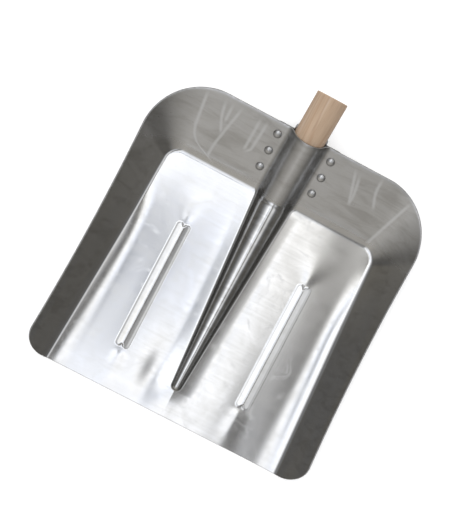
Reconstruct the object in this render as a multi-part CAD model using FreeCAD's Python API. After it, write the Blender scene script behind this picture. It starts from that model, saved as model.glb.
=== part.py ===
import FreeCAD, Part
import math
import os

# Aluminium scoop-type snow shovel with a short round wooden handle.
#
# The pieces are drawn in a working frame: X across the scoop, Y from its front edge towards the
# handle, Z up from the ground. The last step moves them so that the origin is at the bottom centre
# of the whole shovel. What sits on the rear wall is drawn flat in a wall frame (X across, Y up the
# slope from the crease, Z out of the wall's upper surface) and then tilted into place.

# ---- driving dimensions: millimetres and degrees ----
SHEET = 2.0  # thickness of the blade and of the socket's back half

FLOOR_LENGTH = 295.0  # front edge to the rear crease
FLOOR_HALF_FRONT = 156.5  # centre line to the side crease at the front edge
FLOOR_HALF_REAR = 140.0  # the same at the rear crease
FLOOR_CORNER_RADIUS = 18.0  # plan radius where side and rear creases meet
CREASE_RADIUS = 6.0  # bend radius on the upper side of the creases
SIDE_SLOPE = 42.0  # side walls, measured from the floor
REAR_SLOPE = 32.0  # rear wall, and the handle's axis with it
PRESS_DEPTH = 80.0  # the press tool is drawn this high, above the hump and every rim
PRESS_CORNER_RADIUS = 102.0  # plan radius of the rear corners at the press depth

REAR_WALL = 95.5  # rear wall from crease to rim, along the slope
RIM_HALF_FRONT = 186.0  # centre line to the side rim, behind the front corner
RIM_HALF_WAIST = 179.7  # the same at the waist
RIM_HALF_REAR = 180.0  # the same where the rear corner starts
RIM_WAIST_Y = 190.0
FRONT_CORNER_RADIUS = 28.0
REAR_CORNER_RADIUS = 74.0

HUMP_FLANK = 60.0  # slope of the hump's two flanks, which run down from its round crown
HUMP_RADIUS = 21.0  # crown of the arched part that carries the handle on the rear wall
HUMP_HEIGHT = 20.0
HUMP_NECK_RADIUS = 21.5  # crown of the tapering part at the rear crease
HUMP_NECK_HEIGHT = 19.0
HUMP_TIP_RADIUS = 5.9
HUMP_TIP_HEIGHT = 5.0
HUMP_TIP_Y = 35.0

BEAD_X = 82.0  # two stiffening beads, one on each side of the hump
BEAD_FRONT = 52.0
BEAD_REAR = 220.0
BEAD_HALF_WIDTH = 9.3
BEAD_BORDER = 1.6  # width of the bead's steep border
BEAD_STEP = 2.0  # height of the border
BEAD_HEIGHT = 3.0  # at the ridge

RIVET_X = 35.0
RIVET_ALONG = {"lower": 31.0, "middle": 55.0, "upper": 79.0}  # up the slope from the crease
RIVET_SHANK_RADIUS = 2.5
RIVET_HEAD_RADIUS = 5.2
RIVET_HEAD_HEIGHT = 3.2
RIVET_TAIL_RADIUS = 4.2
RIVET_TAIL_HEIGHT = 2.0

HANDLE_RADIUS = 19.0
HANDLE_END = 150.0  # end of the handle's axis, up the slope from the crease
HANDLE_CUT_TILT = 10.0  # the saw cut's plane leans back from the vertical
HANDLE_BARE_START = 100.0  # above here the handle is a plain cylinder
HANDLE_SEAT_RADIUS = 18.8  # planed slightly thinner inside the socket
HANDLE_SEAT_START = 66.0
HANDLE_POINT_START = 34.0  # lower end of the handle, inside the hump
HANDLE_POINT_RADIUS = 6.5

SOCKET_START = 12.0
FLANGE_END = 94.0
TROUGH_END = 98.5  # the trough stands a little past the blade's rim
SOCKET_HALF_WIDTH = 46.0
SOCKET_CORNER_RADIUS = 9.0
TROUGH_NOSE_START = 62.0  # below here the trough ramps up into the flange
TROUGH_NOSE_END = 20.0

SCREW_ALONG = 80.0
SCREW_SHANK_RADIUS = 2.2
SCREW_HEAD_RADIUS = 4.6
SCREW_HEAD_HEIGHT = 2.6
SCREW_DEPTH = 22.0  # how far the shank reaches into the wood
SCREW_POINT = 5.0  # length of the shank's sharp end

# ---- values that follow from them ----
OVERSHOOT = 30.0  # how far cutting tools reach past what they cut
HANDLE_LIFT = HUMP_HEIGHT - HUMP_RADIUS  # the handle lies under the crown, on the same axis
TROUGH_DEPTH = HANDLE_RADIUS - HANDLE_LIFT  # the trough's inside below the wall's upper surface
TROUGH_SAG = TROUGH_DEPTH - SHEET
TROUGH_BORE = HANDLE_RADIUS
TROUGH_LIFT = HANDLE_LIFT

ACROSS = FreeCAD.Vector(1, 0, 0)
ALONG = FreeCAD.Vector(0, 1, 0)
UP = FreeCAD.Vector(0, 0, 1)


def point(x, y, z=0.0):
    return FreeCAD.Vector(x, y, z)


def tilt_onto_wall(shape):
    """Carry a shape from the flat wall frame to the sloping rear wall."""
    tilted = shape.copy()
    tilted.rotate(point(0, 0), ACROSS, REAR_SLOPE)
    tilted.translate(point(0, FLOOR_LENGTH, SHEET))
    return tilted


def rounded_corner(before, corner, after, radius):
    """Start, middle and end of the arc that rounds a corner."""
    to_before = (before - corner).normalize()
    to_after = (after - corner).normalize()
    half_angle = to_before.getAngle(to_after) / 2
    reach = radius / math.tan(half_angle)
    inward = (to_before + to_after).normalize()
    middle = corner + inward * (radius / math.sin(half_angle) - radius)
    return corner + to_before * reach, middle, corner + to_after * reach


# ---- blade: floor, walls, hump and beads pressed from one sheet ----
def basin_outline(height, skin):
    """Plan of the scoop's upper side at a height above the floor, moved out by a skin thickness."""
    side, rear = math.radians(SIDE_SLOPE), math.radians(REAR_SLOPE)
    taper = math.atan((FLOOR_HALF_FRONT - FLOOR_HALF_REAR) / FLOOR_LENGTH)
    side_run = (height / math.tan(side) + skin / math.sin(side)) / math.cos(taper)
    front_y = -OVERSHOOT
    rear_y = FLOOR_LENGTH + height / math.tan(rear) + skin / math.sin(rear)
    half_front = FLOOR_HALF_FRONT + side_run - front_y * math.tan(taper)
    half_rear = FLOOR_HALF_FRONT + side_run - rear_y * math.tan(taper)
    growth = (PRESS_CORNER_RADIUS - FLOOR_CORNER_RADIUS) / PRESS_DEPTH
    radius = FLOOR_CORNER_RADIUS + growth * height + skin / math.sin((side + rear) / 2)
    z = SHEET + height
    corners = [
        point(-half_front, front_y, z),
        point(-half_rear, rear_y, z),
        point(half_rear, rear_y, z),
        point(half_front, front_y, z),
    ]
    left = rounded_corner(corners[0], corners[1], corners[2], radius)
    right = rounded_corner(corners[1], corners[2], corners[3], radius)
    edges = [
        Part.makeLine(corners[0], left[0]),
        Part.Arc(*left).toShape(),
        Part.makeLine(left[2], right[0]),
        Part.Arc(*right).toShape(),
        Part.makeLine(right[2], corners[3]),
        Part.makeLine(corners[3], corners[0]),
    ]
    return Part.Wire(edges)


def basin(skin):
    """The space above the sheet's upper side, grown downwards and outwards by a skin thickness."""
    solid = Part.makeLoft([basin_outline(-skin, skin), basin_outline(PRESS_DEPTH, skin)], True, True)
    floor_z = SHEET - skin
    creases = []
    for edge in solid.Edges:
        box = edge.BoundBox
        on_floor = abs(box.ZMax - floor_z) < 0.01 and box.ZLength < 0.01
        if on_floor and box.YMax > 0:
            creases.append(edge)
    return solid.makeFillet(CREASE_RADIUS + skin, creases)


def arch_half(radius, height, y):
    """Wire of the hump's right half across one station: round crown, straight flank, flat below."""
    flank = math.radians(HUMP_FLANK)
    centre = height - radius
    shoulder_x, shoulder_z = radius * math.sin(flank), centre + radius * math.cos(flank)
    base_x = shoulder_x + (shoulder_z + OVERSHOOT) / math.tan(flank)
    half_turn = flank / 2
    crown = point(0, y, height)
    bulge = point(radius * math.sin(half_turn), y, centre + radius * math.cos(half_turn))
    shoulder = point(shoulder_x, y, shoulder_z)
    base, middle = point(base_x, y, -OVERSHOOT), point(0, y, -OVERSHOOT)
    edges = [
        Part.Arc(crown, bulge, shoulder).toShape(),
        Part.makeLine(shoulder, base),
        Part.makeLine(base, middle),
        Part.makeLine(middle, crown),
    ]
    return Part.Wire(edges)


def with_mirror_half(half):
    return half.fuse(half.mirror(point(0, 0), ACROSS)).removeSplitter()


def hump(skin):
    """Arch on the rear wall and the taper from it to the tip, lower by a skin thickness."""
    arch_start = -HUMP_RADIUS
    arch_length = REAR_WALL + OVERSHOOT - arch_start
    arch_face = Part.Face(arch_half(HUMP_RADIUS - skin, HUMP_HEIGHT - skin, arch_start))
    arch = with_mirror_half(arch_face.extrude(ALONG * arch_length))
    tip_half_width = (HUMP_TIP_RADIUS + HUMP_TIP_HEIGHT) * math.tan(math.radians(HUMP_FLANK / 2))
    tip_y = HUMP_TIP_Y + tip_half_width
    tip = arch_half(HUMP_TIP_RADIUS - skin, HUMP_TIP_HEIGHT - skin, tip_y)
    neck = arch_half(HUMP_NECK_RADIUS - skin, HUMP_NECK_HEIGHT - skin, FLOOR_LENGTH)
    taper = with_mirror_half(Part.makeLoft([tip, neck], True, True))
    nose = Part.Face(tip).revolve(point(0, tip_y), UP, -180)
    floor_part = taper.fuse(nose)
    floor_part.translate(UP * SHEET)
    return tilt_onto_wall(arch).fuse(floor_part)


def bead(x, skin):
    """Ridged bead with round ends, lower by a skin thickness, reaching below the floor."""
    border = BEAD_HALF_WIDTH - skin / 2
    shoulder = border - BEAD_BORDER
    low, step, ridge = -SHEET, BEAD_STEP, BEAD_HEIGHT
    section = [
        point(0, 0, low),
        point(border, 0, low),
        point(border, 0, 0),
        point(shoulder, 0, step),
        point(0, 0, ridge),
        point(0, 0, low),
    ]
    half_section = Part.Face(Part.makePolygon(section))
    other_half = half_section.mirror(point(0, 0), ACROSS)
    length = BEAD_REAR - BEAD_FRONT - 2 * BEAD_HALF_WIDTH
    body = half_section.extrude(ALONG * length)
    body = body.fuse(other_half.extrude(ALONG * length))
    front_end = half_section.revolve(point(0, 0), UP, -180)
    rear_end = half_section.revolve(point(0, 0), UP, 180)
    rear_end.translate(ALONG * length)
    whole = body.multiFuse([front_end, rear_end]).removeSplitter()
    whole.translate(point(x, BEAD_FRONT + BEAD_HALF_WIDTH, SHEET - skin))
    return whole


def rim_outline():
    """Plan of the whole blade, as a face."""
    rear_y = FLOOR_LENGTH + REAR_WALL * math.cos(math.radians(REAR_SLOPE))
    corner_start = rear_y - REAR_CORNER_RADIUS
    corner_end = RIM_HALF_REAR - REAR_CORNER_RADIUS
    front_end = RIM_HALF_FRONT - FRONT_CORNER_RADIUS
    diagonal = math.cos(math.radians(45))
    rear_bulge = REAR_CORNER_RADIUS * diagonal
    front_bulge = FRONT_CORNER_RADIUS * diagonal
    edges = [Part.makeLine(point(-front_end, 0), point(front_end, 0))]
    for side in (1, -1):
        front_middle = point(side * (front_end + front_bulge), FRONT_CORNER_RADIUS - front_bulge)
        rear_middle = point(side * (corner_end + rear_bulge), corner_start + rear_bulge)
        front_corner = point(side * RIM_HALF_FRONT, FRONT_CORNER_RADIUS)
        waist = point(side * RIM_HALF_WAIST, RIM_WAIST_Y)
        rear_corner = point(side * RIM_HALF_REAR, corner_start)
        edges += [
            Part.Arc(point(side * front_end, 0), front_middle, front_corner).toShape(),
            Part.Arc(front_corner, waist, rear_corner).toShape(),
            Part.Arc(rear_corner, rear_middle, point(side * corner_end, rear_y)).toShape(),
        ]
    edges.append(Part.makeLine(point(corner_end, rear_y), point(-corner_end, rear_y)))
    return Part.Face(Part.Wire(Part.sortEdges(edges)[0]))


def rivet_holes():
    """One drill for each rivet, through the rear wall and the socket's flanges."""
    drills = []
    for side in (-1, 1):
        for along in RIVET_ALONG.values():
            start = point(side * RIVET_X, along, -OVERSHOOT)
            drill = Part.makeCylinder(RIVET_SHANK_RADIUS, 2 * OVERSHOOT, start, UP)
            drills.append(tilt_onto_wall(drill))
    return drills


def blade():
    below = [hump(SHEET), bead(-BEAD_X, SHEET), bead(BEAD_X, SHEET)]
    above = [hump(0), bead(-BEAD_X, 0), bead(BEAD_X, 0)]
    sheet = basin(SHEET).cut(below).cut(basin(0).cut(above))
    past_mouth = Part.makeBox(
        4 * HUMP_RADIUS, 2 * OVERSHOOT, 4 * HUMP_RADIUS, point(-2 * HUMP_RADIUS, REAR_WALL, 0)
    )
    prism = rim_outline().extrude(UP * 2 * PRESS_DEPTH)
    sheet = sheet.cut(tilt_onto_wall(past_mouth)).common(prism)
    return sheet.cut(rivet_holes())


# ---- socket's back half: a trough with two flanges under the rear wall ----
def trough(skin):
    """Round trough with a ramped lower end, fatter by a skin thickness, as a full round body."""
    radius = TROUGH_BORE + skin
    nose_radius = radius - TROUGH_SAG
    nose_length = TROUGH_NOSE_START - TROUGH_NOSE_END
    tube_length = TROUGH_END + OVERSHOOT - TROUGH_NOSE_START
    tube = Part.makeCylinder(radius, tube_length, point(0, TROUGH_NOSE_START), ALONG)
    nose = Part.makeCone(nose_radius, radius, nose_length, point(0, TROUGH_NOSE_END), ALONG)
    whole = tube.fuse(nose).removeSplitter()
    whole.translate(UP * TROUGH_LIFT)
    return whole


def socket_back():
    width = 2 * SOCKET_HALF_WIDTH
    plate_start = point(-SOCKET_HALF_WIDTH, SOCKET_START, -2 * SHEET)
    flanges = Part.makeBox(width, FLANGE_END - SOCKET_START, SHEET, plate_start)
    corners = [edge for edge in flanges.Edges if edge.BoundBox.ZLength > SHEET / 2]
    flanges = flanges.makeFillet(SOCKET_CORNER_RADIUS, corners)
    room = 2 * HUMP_RADIUS
    room_start = point(-SOCKET_HALF_WIDTH, SOCKET_START, -SHEET - room)
    room_below = Part.makeBox(width, TROUGH_END - SOCKET_START, room, room_start)
    body = flanges.fuse(trough(SHEET).common(room_below)).cut(trough(0))
    screw_hole = Part.makeCylinder(
        SCREW_SHANK_RADIUS, OVERSHOOT, point(0, SCREW_ALONG, -OVERSHOOT), UP
    )
    body = tilt_onto_wall(body.cut(screw_hole).removeSplitter())
    return body.cut(rivet_holes())


# ---- fasteners ----
def dome(radius, height):
    """Cap of a sphere on the XY plane, rising along Z."""
    sphere_radius = (radius**2 + height**2) / (2 * height)
    ball = Part.makeSphere(sphere_radius, point(0, 0, height - sphere_radius))
    return ball.common(Part.makeCylinder(2 * radius, height, point(0, 0), UP))


def rivet(side, along):
    """Dome head above the wall, shank through both sheets, upset tail under the flange."""
    grip = 2 * SHEET
    head = dome(RIVET_HEAD_RADIUS, RIVET_HEAD_HEIGHT)
    shank = Part.makeCylinder(RIVET_SHANK_RADIUS, grip, point(0, 0, -grip), UP)
    tail = dome(RIVET_TAIL_RADIUS, RIVET_TAIL_HEIGHT)
    tail.rotate(point(0, 0), ACROSS, 180)
    tail.translate(point(0, 0, -grip))
    whole = head.multiFuse([shank, tail]).removeSplitter()
    whole.translate(point(side * RIVET_X, along))
    return tilt_onto_wall(whole)


def screw_shank(radius):
    """Shank from the trough's outside up into the wood, with a sharp end."""
    start = -TROUGH_DEPTH - SHEET
    straight = SHEET + SCREW_DEPTH - SCREW_POINT
    body = Part.makeCylinder(radius, straight, point(0, SCREW_ALONG, start), UP)
    tip = Part.makeCone(radius, 0, SCREW_POINT, point(0, SCREW_ALONG, start + straight), UP)
    return body.fuse(tip)


def handle_screw():
    """Round-head wood screw with a cross slot, from behind."""
    head = dome(SCREW_HEAD_RADIUS, SCREW_HEAD_HEIGHT)
    slot_width, slot_depth = SCREW_HEAD_RADIUS / 4, SCREW_HEAD_HEIGHT / 2
    slot_length = 1.2 * SCREW_HEAD_RADIUS
    slot_base = SCREW_HEAD_HEIGHT - slot_depth
    one = Part.makeBox(
        slot_length, slot_width, 2 * slot_depth, point(-slot_length / 2, -slot_width / 2, slot_base)
    )
    other = Part.makeBox(
        slot_width, slot_length, 2 * slot_depth, point(-slot_width / 2, -slot_length / 2, slot_base)
    )
    head = head.cut(one.fuse(other))
    head.rotate(point(0, 0), ACROSS, 180)
    head.translate(point(0, SCREW_ALONG, -TROUGH_DEPTH - SHEET))
    return tilt_onto_wall(head.fuse(screw_shank(SCREW_SHANK_RADIUS)))


# ---- handle ----
def handle():
    """Round wooden handle: pointed inside the hump, seated in the socket, sawn off behind it."""
    seat = HANDLE_BARE_START - HANDLE_SEAT_START
    bare = HANDLE_END + 2 * HANDLE_RADIUS - HANDLE_BARE_START
    tip = HANDLE_SEAT_START - HANDLE_POINT_START
    sections = [
        Part.makeCone(HANDLE_POINT_RADIUS, HANDLE_SEAT_RADIUS, tip, point(0, HANDLE_POINT_START), ALONG),
        Part.makeCone(HANDLE_SEAT_RADIUS, HANDLE_RADIUS, seat, point(0, HANDLE_SEAT_START), ALONG),
        Part.makeCylinder(HANDLE_RADIUS, bare, point(0, HANDLE_BARE_START), ALONG),
    ]
    whole = sections[0].multiFuse(sections[1:])
    whole.translate(UP * HANDLE_LIFT)
    whole = whole.cut(screw_shank(SCREW_SHANK_RADIUS))
    side = 6 * HANDLE_RADIUS
    waste = Part.makeBox(side, side, side, point(-side / 2, 0, -side / 2))
    waste.rotate(point(0, 0), ACROSS, HANDLE_CUT_TILT - REAR_SLOPE)
    waste.translate(point(0, HANDLE_END, HANDLE_LIFT))
    return tilt_onto_wall(whole.cut(waste))


def all_pieces():
    pieces = {"blade": blade(), "socket_back": socket_back()}
    for side_name, side in (("left", -1), ("right", 1)):
        for place, along in RIVET_ALONG.items():
            pieces[f"rivet_{side_name}_{place}"] = rivet(side, along)
    pieces["handle"] = handle()
    pieces["handle_screw"] = handle_screw()
    return pieces


def main():
    os.makedirs("parts", exist_ok=True)
    pieces = all_pieces()
    depth = pieces["handle"].optimalBoundingBox(False, False).YMax
    for name, shape in pieces.items():
        placed = shape.copy()
        placed.translate(point(0, -depth / 2))
        placed.exportStep(os.path.join("parts", name + ".step"))
        print(name, len(placed.Solids), placed.isValid(), round(placed.Volume), placed.BoundBox)


main()
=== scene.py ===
"""Looks for the aluminium scoop snow shovel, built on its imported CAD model.

The blade is one closed sheet mesh. Its upper side is a height field over a plan grid: a floor grid,
and a wall strip that fans round the floor's rear corners out to the rim. Lengths are in millimetres,
measured across (x), from the front edge towards the handle (y) and up from the ground (z); they turn
into metres in the row frame when a mesh is made.
"""

import math

import bpy
import numpy as np
from mathutils import Matrix, Vector


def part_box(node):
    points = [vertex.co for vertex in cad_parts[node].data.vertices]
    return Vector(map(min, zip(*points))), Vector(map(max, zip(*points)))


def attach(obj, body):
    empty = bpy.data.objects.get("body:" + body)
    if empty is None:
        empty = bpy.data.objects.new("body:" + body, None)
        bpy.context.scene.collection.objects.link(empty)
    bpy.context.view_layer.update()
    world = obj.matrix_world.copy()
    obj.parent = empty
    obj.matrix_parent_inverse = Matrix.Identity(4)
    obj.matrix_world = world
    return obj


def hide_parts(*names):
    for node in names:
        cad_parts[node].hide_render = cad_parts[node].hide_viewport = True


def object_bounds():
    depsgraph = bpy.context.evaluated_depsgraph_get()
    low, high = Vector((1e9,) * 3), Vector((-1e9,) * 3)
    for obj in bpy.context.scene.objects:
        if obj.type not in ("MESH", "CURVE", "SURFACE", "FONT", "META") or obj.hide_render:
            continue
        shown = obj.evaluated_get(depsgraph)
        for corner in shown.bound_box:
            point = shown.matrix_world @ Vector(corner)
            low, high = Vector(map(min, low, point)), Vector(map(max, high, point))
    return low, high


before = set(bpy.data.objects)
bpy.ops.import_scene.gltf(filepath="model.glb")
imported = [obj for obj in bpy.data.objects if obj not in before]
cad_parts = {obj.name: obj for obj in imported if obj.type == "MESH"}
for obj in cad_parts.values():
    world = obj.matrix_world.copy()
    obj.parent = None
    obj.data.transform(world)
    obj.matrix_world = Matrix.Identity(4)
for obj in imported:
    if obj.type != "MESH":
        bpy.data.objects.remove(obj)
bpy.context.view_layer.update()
MM = 0.001

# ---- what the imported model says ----
BLADE_LOW, BLADE_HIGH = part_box("blade")
FRONT = BLADE_LOW.y  # metres, the front edge in the row frame
RIM_HALF_FRONT = BLADE_HIGH.x / MM
BLADE_DEPTH = (BLADE_HIGH.y - BLADE_LOW.y) / MM

# ---- driving dimensions of the pressed sheet: millimetres and degrees ----
SHEET = 2.0
FLOOR_LENGTH = 295.0  # front edge to the rear crease
FLOOR_HALF_FRONT = 156.5  # centre line to the side crease at the front edge
FLOOR_HALF_REAR = 140.0
FLOOR_CORNER_RADIUS = 18.0
CREASE_RADIUS = 9.0
SIDE_SLOPE = math.radians(42.0)
REAR_SLOPE = math.radians(32.0)
CORNER_GROWTH = 1.05  # how fast the corner's plan radius grows with height
RIM_HALF_WAIST = 179.7
RIM_HALF_REAR = 180.0
RIM_WAIST_Y = 190.0
FRONT_CORNER_RADIUS = 28.0
REAR_CORNER_RADIUS = 74.0
RIM_ROUND = 0.45  # the sheared edge is eased by this much
RIM_POINTS = 400  # along each stretch of the outline

HUMP_FLANK = math.radians(60.0)
ARCH = (21.0, 20.0, 8.0)  # crown radius, height and foot fillet on the rear wall
NECK = (21.5, 19.0, 4.0)  # the same where the taper reaches the rear crease
TIP = (5.9, 5.0, 2.2)
HUMP_TIP_Y = 35.0
RING_HEIGHT = 0.55  # a raised line where the socket's half tube meets the tapered hump
RING_SPREAD = 0.9
RING_RISE = (6.0, 14.0)  # it sets in between these heights of the hump
ARCH_CELLS = (12, 3, 6)  # divisions of the crown, the flank and the foot

BEAD_X = 82.0
BEAD_FRONT = 52.0
BEAD_REAR = 220.0
BEAD_HALF_WIDTH = 9.3
BEAD_BORDER = 2.2  # width of the rounded border
BEAD_STEP = 0.32
BEAD_HEIGHT = 1.25
BEAD_RIDGE_ROUND = 1.2  # how blunt the ridge along its middle is
BEAD_NOTCH = (-2.5, 1.0)  # where each end parts into two lobes

# ---- how finely the sheet is divided ----
CORNER_CELLS = 20
WALL_ROWS = 42
BORDER_ROW = 4  # this row of the wall strip lies where the crease's bend ends
BORDER_REACH = 2.6  # plan distance from the crease to that row
FRONT_CORNER_CELLS = 12
AHEAD_CELLS = 4  # rows from the hump's tip to the beads
BEAD_END_CELLS = 12
BEAD_CELLS = 36
BEHIND_CELLS = 12  # rows from the beads to the elbow
ELBOW_CELLS = 3
INNER_COLUMNS = 22  # from the hump to a bead
INNER_POWER = 1.15  # they are closer together beside the hump
BEAD_COLUMNS = 24
OUTER_COLUMNS = 16  # from a bead to the corner
BEAD_MARGIN = 1.0  # the finer cells reach this far past a bead
BEAD_END_MARGIN = 4.0

TAPER = math.atan((FLOOR_HALF_FRONT - FLOOR_HALF_REAR) / FLOOR_LENGTH)


# ---- plan ----
def half_width(y):
    """Centre line to the side crease."""
    return FLOOR_HALF_FRONT - y * math.tan(TAPER)


def circle_through(a, b, c):
    """Centre and radius of the circle through three points."""
    (ax, ay), (bx, by), (cx, cy) = a, b, c
    d = 2 * (ax * (by - cy) + bx * (cy - ay) + cx * (ay - by))
    a2, b2, c2 = ax**2 + ay**2, bx**2 + by**2, cx**2 + cy**2
    x = (a2 * (by - cy) + b2 * (cy - ay) + c2 * (ay - by)) / d
    y = (a2 * (cx - bx) + b2 * (ax - cx) + c2 * (bx - ax)) / d
    return np.array([x, y]), math.hypot(ax - x, ay - y)


def rim_polyline():
    """The upper side's edge on the right, from the front round to the rear.

    It lies inside the outline by what the eased edge and the sheet's lean add below it.
    """
    quarter = np.linspace(0, math.pi / 2, RIM_POINTS)
    front_turn = quarter - math.pi / 2
    side_lean = (SHEET - RIM_ROUND) * math.sin(SIDE_SLOPE)
    rear_lean = (SHEET - RIM_ROUND) * math.sin(REAR_SLOPE)
    front_centre = np.array([RIM_HALF_FRONT - FRONT_CORNER_RADIUS, FRONT_CORNER_RADIUS])
    radius = FRONT_CORNER_RADIUS - RIM_ROUND - side_lean * np.cos(front_turn)
    front = front_centre + arc_points(radius, front_turn)
    rear_start = BLADE_DEPTH - REAR_CORNER_RADIUS
    centre, radius = circle_through(
        (RIM_HALF_FRONT, FRONT_CORNER_RADIUS),
        (RIM_HALF_WAIST, RIM_WAIST_Y),
        (RIM_HALF_REAR, rear_start),
    )
    y = np.linspace(FRONT_CORNER_RADIUS, rear_start, RIM_POINTS)
    side_x = centre[0] - np.sqrt((radius + RIM_ROUND + side_lean) ** 2 - (y - centre[1]) ** 2)
    rear_centre = np.array([RIM_HALF_REAR - REAR_CORNER_RADIUS, rear_start])
    lean = side_lean + (rear_lean - side_lean) * quarter / quarter[-1]
    rear = rear_centre + arc_points(REAR_CORNER_RADIUS - RIM_ROUND - lean, quarter)
    return np.vstack([front, np.column_stack([side_x, y])[1:-1], rear])


def arc_points(radius, turn):
    """Plan positions about the origin."""
    return np.column_stack([radius * np.cos(turn), radius * np.sin(turn)])


def corner_centre():
    """Centre of the arc where side and rear walls meet on the right, and its drift with height."""
    normals = np.array([[math.cos(TAPER), math.sin(TAPER)], [0.0, 1.0]])
    reach = np.array([FLOOR_HALF_FRONT * math.cos(TAPER), FLOOR_LENGTH])
    run = np.array([1 / math.tan(SIDE_SLOPE), 1 / math.tan(REAR_SLOPE)])
    start = np.linalg.solve(normals, reach - FLOOR_CORNER_RADIUS)
    drift = np.linalg.solve(normals, run - CORNER_GROWTH)
    return start, drift


CORNER_START, CORNER_DRIFT = corner_centre()


# ---- heights ----
def pan_height(x, y):
    """Height of the pan above its floor as if the creases were sharp, and the slope there."""
    x = np.abs(x)
    side = (x - half_width(y)) * math.cos(TAPER) * math.tan(SIDE_SLOPE)
    rear = (y - FLOOR_LENGTH) * math.tan(REAR_SLOPE)
    height = np.maximum(side, rear)
    slope = np.where(side > rear, math.tan(SIDE_SLOPE), math.tan(REAR_SLOPE))
    px, py = x - CORNER_START[0], y - CORNER_START[1]
    a = CORNER_DRIFT @ CORNER_DRIFT - CORNER_GROWTH**2
    b = px * CORNER_DRIFT[0] + py * CORNER_DRIFT[1] + FLOOR_CORNER_RADIUS * CORNER_GROWTH
    c = px**2 + py**2 - FLOOR_CORNER_RADIUS**2
    corner = c / (b + np.sqrt(np.maximum(b * b - a * c, 0)))
    nx, ny = px - CORNER_DRIFT[0] * corner, py - CORNER_DRIFT[1] * corner
    length = np.maximum(np.hypot(nx, ny), 1e-6)
    inside = (nx > 0) & (ny * math.cos(TAPER) - nx * math.sin(TAPER) > 0)
    spread = CORNER_GROWTH + (nx * CORNER_DRIFT[0] + ny * CORNER_DRIFT[1]) / length
    return np.where(inside, corner, height), np.where(inside, 1 / spread, slope)


def bend(height, slope, radius):
    """Round the sharp crease between a flat and a slope, given the height above the flat."""
    angle = np.arctan(slope)
    reach = radius * np.tan(angle / 2)
    distance = height / slope
    arc = radius - np.sqrt(np.maximum(radius**2 - (distance + reach) ** 2, 0))
    bent = np.where(distance < -reach, 0, arc)
    return np.where(distance > reach * np.cos(angle), height, bent)


def arch_turns(radius, height, foot):
    """Distances from the axis where the crown ends, the flank ends and the foot fillet ends."""
    crown = radius * math.sin(HUMP_FLANK)
    drop = height - radius * (1 - math.cos(HUMP_FLANK))
    base = crown + drop / math.tan(HUMP_FLANK)
    reach = foot * math.tan(HUMP_FLANK / 2)
    return crown, base - reach * math.cos(HUMP_FLANK), base + reach


def arch_height(distance, radius, height, foot):
    """Height of the hump's section: a round crown, a straight flank and a hollow foot."""
    crown_end, flank_end, foot_end = arch_turns(radius, height, foot)
    crown = height - radius + np.sqrt(np.maximum(radius**2 - distance**2, 0))
    drop = height - radius * (1 - math.cos(HUMP_FLANK))
    flank = drop - (distance - crown_end) * math.tan(HUMP_FLANK)
    toe = foot - np.sqrt(np.maximum(foot**2 - (foot_end - distance) ** 2, 0))
    inside = [distance < crown_end, distance < flank_end, distance < foot_end]
    return np.select(inside, [crown, flank, toe], 0)


def arch_stations(radius, height, foot):
    """Distances from the axis that divide the section evenly by angle."""
    crown_end, flank_end, foot_end = arch_turns(radius, height, foot)
    crown_cells, flank_cells, foot_cells = ARCH_CELLS
    crown = radius * np.sin(np.linspace(0, HUMP_FLANK, crown_cells + 1))
    flank = np.linspace(crown_end, flank_end, flank_cells + 1)[1:]
    toe = foot_end - foot * np.sin(np.linspace(HUMP_FLANK, 0, foot_cells + 1)[1:])
    return np.concatenate([crown, flank, toe])


TIP_CENTRE = HUMP_TIP_Y + (TIP[0] + TIP[1]) * math.tan(HUMP_FLANK / 2)


def taper_section(y):
    """Crown radius, height and foot fillet of the tapering hump."""
    share = np.clip((y - TIP_CENTRE) / (FLOOR_LENGTH - TIP_CENTRE), 0, 1)
    return tuple(tip + (neck - tip) * share for tip, neck in zip(TIP, NECK))


def bead_height(x, y):
    """Ridged bead whose two ends are each a pair of round lobes."""
    lobe = BEAD_HALF_WIDTH / 2
    middle = (BEAD_FRONT + BEAD_REAR) / 2
    half_length = (BEAD_REAR - BEAD_FRONT) / 2 - lobe
    off_ridge = np.abs(np.abs(x) - BEAD_X)
    along = np.abs(y - middle) - half_length
    across = off_ridge - lobe
    across = np.where(across < 0, across * smooth_step(along, *BEAD_NOTCH), across)
    inside = lobe - np.hypot(across, np.maximum(along, 0))
    border = smooth_step(inside, 0, BEAD_BORDER)
    roof = np.sqrt((off_ridge / BEAD_RIDGE_ROUND) ** 2 + 1) * BEAD_RIDGE_ROUND - BEAD_RIDGE_ROUND
    shoulder = BEAD_HALF_WIDTH - BEAD_BORDER
    ridge = (BEAD_HEIGHT - BEAD_STEP) * np.clip(1 - roof / shoulder, 0, 1)
    return (BEAD_STEP + ridge) * border


def smooth_step(value, low, high):
    """0 at low and 1 at high, level at both ends."""
    t = np.clip((value - low) / (high - low), 0, 1)
    return t * t * (3 - 2 * t)


def sheet_height(x, y):
    """Upper side of the sheet above the ground."""
    height, slope = pan_height(x, y)
    off_axis = np.hypot(x, np.minimum(y - TIP_CENTRE, 0))
    taper = arch_height(off_axis, *taper_section(y))
    arch = arch_height(np.abs(x), *ARCH) / math.cos(REAR_SLOPE)
    pan = taper + bend(height + arch - taper, slope, CREASE_RADIUS)
    pan = pan + RING_HEIGHT * bell(height + arch - taper, RING_SPREAD) * smooth_step(taper, *RING_RISE)
    return SHEET + pan + bead_height(x, y) + press_relief(x, y)


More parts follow.
